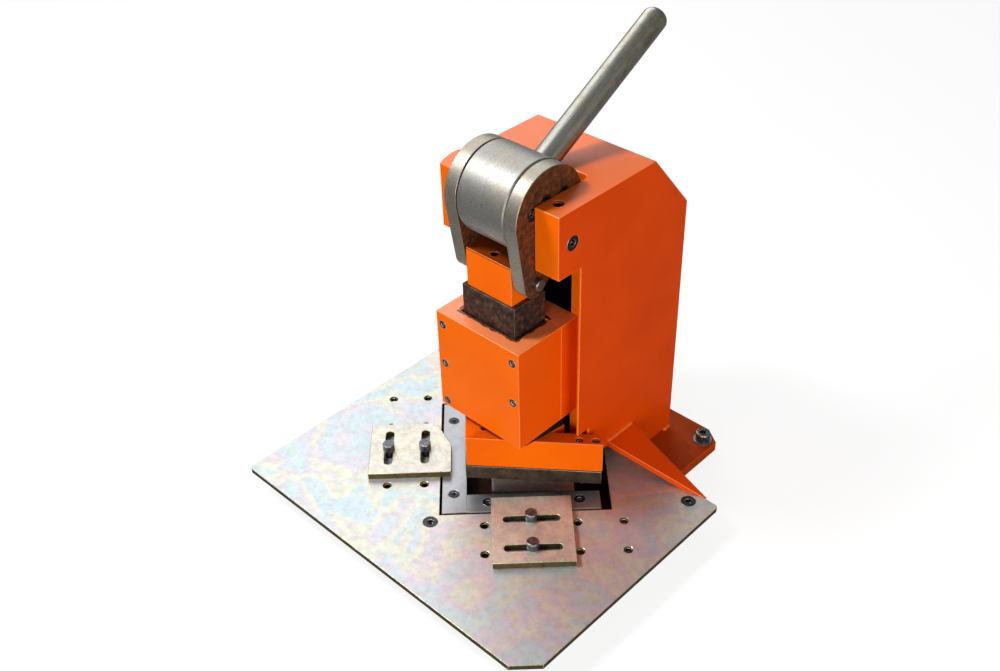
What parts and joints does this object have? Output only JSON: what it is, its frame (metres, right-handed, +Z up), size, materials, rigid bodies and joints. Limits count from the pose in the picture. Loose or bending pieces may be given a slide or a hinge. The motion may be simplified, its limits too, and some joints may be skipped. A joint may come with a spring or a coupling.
{
  "type": "corner notcher",
  "caption": "Bench corner notcher: a lever turns an eccentric drum whose two links push a ram and V-shaped blades down through a square table with slotted stops.",
  "frame": {"origin": "underside of the base plate, straight below the front corner of the table's square window", "axes": "+Z up, +Y from the operator to the column, +X to the operator's right, along the main shaft"},
  "size_m": [0.413, 0.4204, 0.4868],
  "materials": {
    "orange_paint": "orange powder coat with fine orange peel",
    "plated_plate": "zinc passivated plate with an iridescent cast",
    "ground_blade": "surface ground tool steel",
    "hardened_blade": "hardened tool steel, dark",
    "black_oxide": "black oxide",
    "washer_steel": "zinc plated",
    "scaled_steel": "dark steel with mill scale",
    "turned_steel": "turned steel, dull",
    "cut_link": "milled rim, rusty brown face",
    "worn_steel": "scratched bare steel",
    "gib_bronze": "bronze strip",
    "stop_plated": "zinc passivated"
  },
  "bodies": {
    "frame": {"base_plate": "orange_paint", "bench_bolts": "black_oxide", "bench_washers": "washer_steel", "table_plate": "plated_plate", "table_screws": "black_oxide", "table_spacer": "scaled_steel", "table_arm_left": "orange_paint", "table_arm_right": "orange_paint", "gusset_left": "orange_paint", "gusset_right": "orange_paint", "column_side_left": "orange_paint", "column_side_right": "orange_paint", "column_back": "orange_paint", "column_slope": "orange_paint", "column_top": "orange_paint", "head_web": "orange_paint", "cheek_left": "orange_paint", "cheek_right": "orange_paint", "housing_mount": "orange_paint", "housing_front": "orange_paint", "housing_rear": "orange_paint", "housing_screws": "black_oxide", "gib_left": "gib_bronze", "gib_right": "gib_bronze", "die_bed": "scaled_steel", "bed_screws": "black_oxide", "lower_blade_left": "ground_blade", "lower_blade_front": "ground_blade", "lower_blade_screws": "black_oxide", "scrap_chute": "worn_steel", "main_shaft": "turned_steel", "shaft_screws": "black_oxide", "stop_left_bolts": "black_oxide", "stop_front_bolts": "black_oxide"},
    "ram": {"ram": "scaled_steel", "ram_head_block": "orange_paint", "ram_foot": "black_oxide", "blade_holder": "orange_paint", "holder_screws": "black_oxide", "upper_blade_left": "hardened_blade", "upper_blade_right": "hardened_blade"},
    "crank": {"drum": "turned_steel", "journal_left": "scaled_steel", "journal_right": "scaled_steel", "journal_screws": "black_oxide", "lever": "turned_steel"},
    "links": {"link_left": "cut_link", "link_right": "cut_link", "link_pin": "turned_steel"},
    "left_stop": {"stop_left": "stop_plated"},
    "front_stop": {"stop_front": "stop_plated"}
  },
  "joints": [
    {"name": "crank_turn", "type": "hinge", "parent": "frame", "child": "crank", "pos_m": [0, 0.11909, 0.34356], "axis": [1, 0, 0], "range_deg": [0, 106]},
    {"name": "link_swing", "type": "hinge", "parent": "crank", "child": "links", "pos_m": [0, 0.12129, 0.36354], "axis": [1, 0, 0], "range_deg": [-88.5, 0]},
    {"name": "ram_slide", "type": "slide", "parent": "frame", "child": "ram", "axis": [0, 0, -1], "range_m": [0, 0.0264]},
    {"name": "left_stop_slide", "type": "slide", "parent": "frame", "child": "left_stop", "axis": [-0.7071, 0.7071, 0], "range_m": [-0.0254, 0.0192]},
    {"name": "front_stop_slide", "type": "slide", "parent": "frame", "child": "front_stop", "axis": [0.7071, 0.7071, 0], "range_m": [-0.0254, 0.0242]}
  ],
  "couplings": [
    {"joint": "link_swing", "follows": "crank_turn", "ratio": -0.8293},
    {"joint": "ram_slide", "follows": "crank_turn", "m_per_rad": 0.014213}
  ]
}
